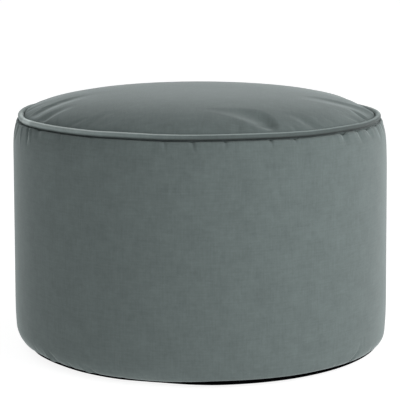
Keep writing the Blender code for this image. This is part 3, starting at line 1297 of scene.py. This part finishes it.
    def distance_from_hem(self, radius: Array, height: Array, bearing: Array) -> Array:
        """How far up from the bottom seam a point lies, round the roll, or 0 behind the base cloth.

        Args:
            radius: Radius of each point.
            height: Height of each point.
            bearing: Bearing of each point.

        Returns:
            The distance of each point.
        """
        foot, corner, hem_angle = self.form.rolled_edge(bearing)
        angle = np.arctan2(radius - foot, corner - height)
        skin = corner - self.form.base_thickness * self.skin_share
        outside = np.hypot(radius - foot, corner - height) > skin
        round_roll = (np.minimum(angle, math.pi / 2) - hem_angle) * corner
        above_roll = np.maximum(height - corner, 0.0)
        return np.where(outside | (height > corner), round_roll + above_roll, 0.0)


@dataclass
class Piping:
    """Cord covered in a bias-cut strip of the same velvet and caught in the top seam."""

    form: DrumForm
    velvet: Velvet
    facets: int = 20
    point_step_mm: float = 2.2
    unevenness: float = 0.05          # share by which the covered cord is thicker or thinner
    uneven_mm: float = 14.0
    join_rise: float = 0.10           # share by which it is thicker where its ends meet, behind
    join_mm: float = 22.0

    def path(self) -> Piece:
        """Draw the line that the cord follows, with a point at every degree of the seam.

        Returns:
            The closed curve.
        """
        curve = bpy.data.curves.new("piping_path", "CURVE")
        curve.dimensions = "3D"
        curve.twist_mode = "Z_UP"
        bearing = bearings(360)[:-1]
        spline = curve.splines.new("POLY")
        spline.points.add(len(bearing) - 1)
        spline.use_cyclic_u = True
        places = self.form.place(self.form.seam_radius, self.form.seam_at(bearing), bearing)
        for point, place in zip(spline.points, places):
            point.co = (*place, 1.0)
        return add_object("piping_path", curve)

    def sizes(self) -> dict:
        """Name the inputs of the node tree that covers the cord.

        Returns:
            The size that each input is given.
        """
        return {"Cord Radius": self.form.cord_radius, "Facets": self.facets,
                "Point Step": self.point_step_mm * MM, "Unevenness": self.unevenness,
                "Uneven Size": self.uneven_mm * MM, "Join Rise": self.join_rise,
                "Join Length": self.join_mm * MM}

    def tree(self) -> Tree:
        """Build the node tree that covers the cord along its path.

        Returns:
            The tree, whose noise has no seed of its own and so is the same each time.
        """
        tree = bpy.data.node_groups.new("covered_cord", "GeometryNodeTree")
        kinds = {name: "NodeSocketInt" if isinstance(size, int) else "NodeSocketFloat"
                 for name, size in self.sizes().items()}
        kinds = {"Path": "NodeSocketGeometry", **kinds, "Velvet": "NodeSocketMaterial"}
        for name, kind in kinds.items():
            tree.interface.new_socket(name, in_out="INPUT", socket_type=kind)
        tree.interface.new_socket("Covered Cord", in_out="OUTPUT",
                                  socket_type="NodeSocketGeometry")
        given = add_node(tree, "NodeGroupInput").outputs
        line = add_node(tree, "GeometryNodeResampleCurve", {
            "Curve": given["Path"], "Length": given["Point Step"]}, mode="LENGTH")

        pitch = add_node(tree, "ShaderNodeMath", {0: 1.0, 1: given["Uneven Size"]},
                         operation="DIVIDE")
        lumps = add_node(tree, "ShaderNodeTexNoise", {"Scale": pitch, "Detail": 1.0})
        centred = add_node(tree, "ShaderNodeMath", {0: lumps, 1: 0.5}, operation="SUBTRACT")
        doubled = add_node(tree, "ShaderNodeMath", {0: centred, 1: 2.0}, operation="MULTIPLY")
        uneven = add_node(tree, "ShaderNodeMath", {0: doubled, 1: given["Unevenness"], 2: 1.0},
                          operation="MULTIPLY_ADD")

        along = add_node(tree, "GeometryNodeSplineParameter").outputs["Length"]
        whole = add_node(tree, "GeometryNodeSplineLength").outputs["Length"]
        rest = add_node(tree, "ShaderNodeMath", {0: whole, 1: along}, operation="SUBTRACT")
        nearest = add_node(tree, "ShaderNodeMath", {0: along, 1: rest}, operation="MINIMUM")
        join = add_node(tree, "ShaderNodeMapRange", {
            "Value": nearest, "From Min": 0.0, "From Max": given["Join Length"],
            "To Min": given["Join Rise"], "To Max": 0.0}, interpolation_type="SMOOTHSTEP")
        thickness = add_node(tree, "ShaderNodeMath", {0: uneven, 1: join}, operation="ADD")
        sized = add_node(tree, "GeometryNodeSetCurveRadius", {"Curve": line, "Radius": thickness})

        outline = add_node(tree, "GeometryNodeCurvePrimitiveCircle", {
            "Resolution": given["Facets"], "Radius": given["Cord Radius"]})
        covered = add_node(tree, "GeometryNodeCurveToMesh", {
            "Curve": sized, "Profile Curve": outline,
            "Scale": add_node(tree, "GeometryNodeInputRadius")})
        soft = add_node(tree, "GeometryNodeSetShadeSmooth", {"Geometry": covered})
        real = add_node(tree, "GeometryNodeRealizeInstances", {"Geometry": soft})
        dressed = add_node(tree, "GeometryNodeSetMaterial", {
            "Geometry": real, "Material": given["Velvet"]})
        add_node(tree, "NodeGroupOutput", {"Covered Cord": dressed})
        return tree

    def build(self) -> Piece:
        """Cover the cord, turn it into a plain mesh and lay out its cloth.

        Returns:
            The finished piece.
        """
        tree = self.tree()
        path = self.path()
        cover = path.modifiers.new("covered cord", "NODES")
        cover.node_group = tree
        values = {**self.sizes(), "Velvet": self.velvet.material()}
        for socket in tree.interface.items_tree:
            if socket.name in values:
                cover[socket.identifier] = values[socket.name]
        path.update_tag()
        mesh = evaluated_mesh(path)
        path.modifiers.clear()
        bpy.data.objects.remove(path)
        mesh.name = "seam_piping"
        self.lay_out_cloth(mesh)
        return add_object("seam_piping", mesh)

    def lay_out_cloth(self, mesh: Mesh) -> None:
        """Give the cover a UV map in metres, along the cord and round it.

        Args:
            mesh: The cover's mesh, all of four-cornered faces.
        """
        form = self.form
        points = read_rows(mesh.vertices, "co")
        radius, bearing = form.measure(points)
        out = radius - (form.seam_radius + form.seam_out(bearing))
        turn = np.arctan2(points[:, 2] - form.seam_at(bearing), out)
        corners = np.empty(len(mesh.loops), dtype=np.int32)
        mesh.loops.foreach_get("vertex_index", corners)
        angles = np.stack([np.radians(bearing), turn], axis=-1)[corners].reshape(-1, 4, 2)
        angles += 2 * math.pi * np.round((angles[:, :1] - angles) / (2 * math.pi))
        lengths = angles * (form.seam_radius, form.cord_radius)
        layer = mesh.uv_layers.get("cut_cloth") or mesh.uv_layers.new(name="cut_cloth")
        layer.data.foreach_set("uv", lengths.astype(np.float32).ravel())


@dataclass
class BasePanel:
    """Dark base cloth under the drum, stretched flat and turned up all round to the bottom seam."""

    form: DrumForm
    cloth: BaseCloth
    segments: int = 400
    turn_up_steps: int = 4

    def flat_radius(self) -> float:
        """Radius that the round panel was cut to, from its middle to the bottom seam."""
        foot, corner, hem_angle = self.form.rolled_edge(bearings(self.segments)[:-1])
        return float(np.mean(foot + corner * hem_angle))

    def build(self) -> Piece:
        """Loft the panel.

        Returns:
            The finished piece.
        """
        form = self.form
        bearing = bearings(self.segments)
        foot, corner, hem_angle = form.rolled_edge(bearing)
        middle = float(np.mean(foot))
        shares = np.linspace(0.0, 1.0, self.turn_up_steps + 1)
        loft = Loft(form)
        loft.lay_disc(middle, form.base_thickness, self.segments, outwards=True)
        for share in shares:
            loft.lay(*rolled(foot, corner, form.base_thickness, hem_angle * share), bearing)
        for share in shares[::-1]:
            tuck = form.hem_tuck if share == 1.0 else 0.0
            loft.lay(*rolled(foot, corner, tuck, hem_angle * share), bearing)
        loft.lay_disc(middle, 0.0, self.segments, outwards=False)
        piece = loft.build("base_cloth_panel")
        piece.data.materials.append(self.cloth.material())
        return piece


# --------------------------------------------------------------------------------------
# Studio


@dataclass(frozen=True)
class Softbox:
    """A soft square studio lamp that looks at the middle of the drum."""

    name: str
    bearing: float
    elevation: float
    watts: float
    colour: str = "ffffff"
    side: float = 1.6
    distance: float = 2.6
    aim_height: float = 0.2

    def build(self) -> None:
        """Hang the lamp and turn it to the drum."""
        lamp = bpy.data.lights.new(self.name, "AREA")
        lamp.shape = "SQUARE"
        lamp.size = self.side
        lamp.energy = self.watts
        lamp.color = linear(self.colour)[:3]
        bearing, elevation = math.radians(self.bearing), math.radians(self.elevation)
        level = math.cos(elevation)
        way = Vector((math.sin(bearing) * level, -math.cos(bearing) * level, math.sin(elevation)))
        hung = add_object(self.name, lamp)
        hung.location = way * self.distance + Vector((0.0, 0.0, self.aim_height))
        hung.rotation_euler = (-way).to_track_quat("-Z", "Y").to_euler()


SOFTBOXES = (
    Softbox("key_softbox", bearing=50, elevation=15, watts=31),
    Softbox("side_softbox", bearing=75, elevation=41, watts=25),
    Softbox("rim_softbox", bearing=118, elevation=15, watts=17, colour="fff0f0"),
    Softbox("far_softbox", bearing=-120, elevation=45, watts=7),
)


@dataclass
class Studio:
    """Pale room round a light table, with soft lamps, most on the right, and the camera."""

    table: LightTable = LightTable()
    lamps: tuple[Softbox, ...] = SOFTBOXES
    room_light: float = 0.4
    floor_side: float = 40.0
    eye: tuple[float, float, float] = (-0.0013, -2.1038, 0.5654)
    look_down: float = 10.06          # degrees
    lens_mm: float = 141.3

    def build(self) -> None:
        """Set up the floor, the room, the lamps and the camera."""
        self.build_floor()
        self.build_room()
        for lamp in self.lamps:
            lamp.build()
        self.build_camera()
        bpy.context.scene.view_settings.view_transform = "Standard"

    def build_floor(self) -> None:
        """Lay the floor."""
        half = self.floor_side / 2
        corners = [(-half, -half, 0), (half, -half, 0), (half, half, 0), (-half, half, 0)]
        mesh = bpy.data.meshes.new("studio_floor")
        mesh.from_pydata(corners, [], [(0, 1, 2, 3)])
        mesh.materials.append(self.table.material())
        add_object("studio_floor", mesh)

    def build_room(self) -> None:
        """Light the pale room evenly all round."""
        room = bpy.data.worlds.new("pale_room")
        room.use_nodes = True
        room.node_tree.nodes.clear()
        glow = add_node(room.node_tree, "ShaderNodeBackground", {
            "Color": (1.0, 1.0, 1.0, 1.0), "Strength": self.room_light})
        add_node(room.node_tree, "ShaderNodeOutputWorld", {"Surface": glow})
        bpy.context.scene.world = room

    def build_camera(self) -> None:
        """Set the camera in front, a little above the drum and looking slightly down."""
        lens = bpy.data.cameras.new("camera")
        lens.lens = self.lens_mm
        camera = add_object("camera", lens)
        camera.location = self.eye
        camera.rotation_euler = (math.radians(90.0 - self.look_down), 0.0, 0.0)
        bpy.context.scene.camera = camera


# --------------------------------------------------------------------------------------
# Putting it together


def settle(piece: Piece, node: str) -> None:
    """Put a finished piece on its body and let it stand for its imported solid.

    Args:
        piece: The finished piece.
        node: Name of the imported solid.
    """
    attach(piece, BODY)
    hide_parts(node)
    faces = sum(len(face.vertices) - 2 for face in piece.data.polygons)
    LOG.info("%s stands for %s, with %d triangles", piece.name, node, faces)


def main() -> None:
    """Build the footstool's pieces in the order they are sewn, then the studio."""
    logging.basicConfig(level=logging.INFO, format="%(name)s: %(message)s")
    form = DrumForm.from_frame()
    velvet = Velvet("velvet_of_panels")
    for panel, node in ((CrownPanel(form, velvet, Filling(pressure=1.0)), "top_panel"),
                        (SideBand(form, velvet, Filling(pressure=6.0)), "side_band")):
        piece = panel.build()
        settle(piece, node)

    # the cord's velvet carries painted sheen, a painted highlight and painted shade in its colour
    cord_velvet = PaintedLightBiasVelvet("bias_cut_velvet_painted_light", ring_radius=form.seam_radius,
                             cord_radius=form.cord_radius)
    piece = Piping(form, cord_velvet).build()
    settle(piece, "top_piping")

    base = BasePanel(form, BaseCloth())
    piece = base.build()
    settle(piece, "base_panel")
    across = 2 * base.flat_radius()

    Studio().build()


if __name__ == "__main__":
    main()
